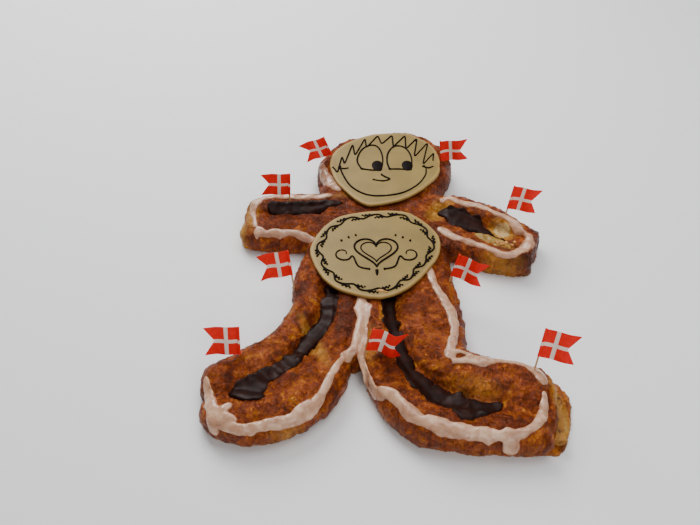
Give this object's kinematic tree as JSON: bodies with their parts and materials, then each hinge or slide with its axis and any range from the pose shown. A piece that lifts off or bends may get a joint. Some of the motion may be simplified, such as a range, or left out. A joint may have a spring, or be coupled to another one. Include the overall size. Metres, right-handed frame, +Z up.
{
  "type": "danish cake man",
  "caption": "Flat figure of sweet pastry with icing, chocolate, round marzipan plaques with a piped face and border, and paper flags on picks.",
  "frame": {"origin": "centre of the whole object's bounding box, at its underside", "axes": "+Y from the feet to the head, +X to the viewer's right when the face is looked at from above with the head away, +Z up out of the decorated side"},
  "size_m": [0.4111, 0.5423, 0.0803],
  "materials": {
    "pastry": "baked golden-brown sweet dough crust, flaky and uneven",
    "custard": "yellow baked custard, moist",
    "icing": "white sugar icing, slightly glossy and translucent",
    "chocolate": "dark chocolate icing, glossy",
    "plaque": "ivory rolled marzipan, matt, with dark piped lines",
    "flag": "thin printed paper, red with a white cross",
    "stick": "plain pale wooden pick"
  },
  "bodies": {
    "root": {"pastry_man": "pastry", "custard_right_foot": "custard", "custard_right_arm": "custard", "icing_head": "icing", "icing_left_arm": "icing", "icing_right_arm": "icing", "icing_legs": "icing", "icing_right_hip": "icing", "chocolate_left_leg": "chocolate", "chocolate_right_leg": "chocolate", "chocolate_left_arm": "chocolate", "chocolate_right_arm": "chocolate", "plaque_face": "plaque", "plaque_belly": "plaque", "flag_head_left": "flag", "flag_head_right": "flag", "flag_left_arm": "flag", "flag_left_hip": "flag", "flag_right_arm": "flag", "flag_right_hip": "flag", "flag_left_foot": "flag", "flag_crotch": "flag", "flag_right_foot": "flag", "stick_head_left": "stick", "stick_head_right": "stick", "stick_left_arm": "stick", "stick_left_hip": "stick", "stick_right_arm": "stick", "stick_right_hip": "stick", "stick_left_foot": "stick", "stick_crotch": "stick", "stick_right_foot": "stick"}
  },
  "joints": []
}
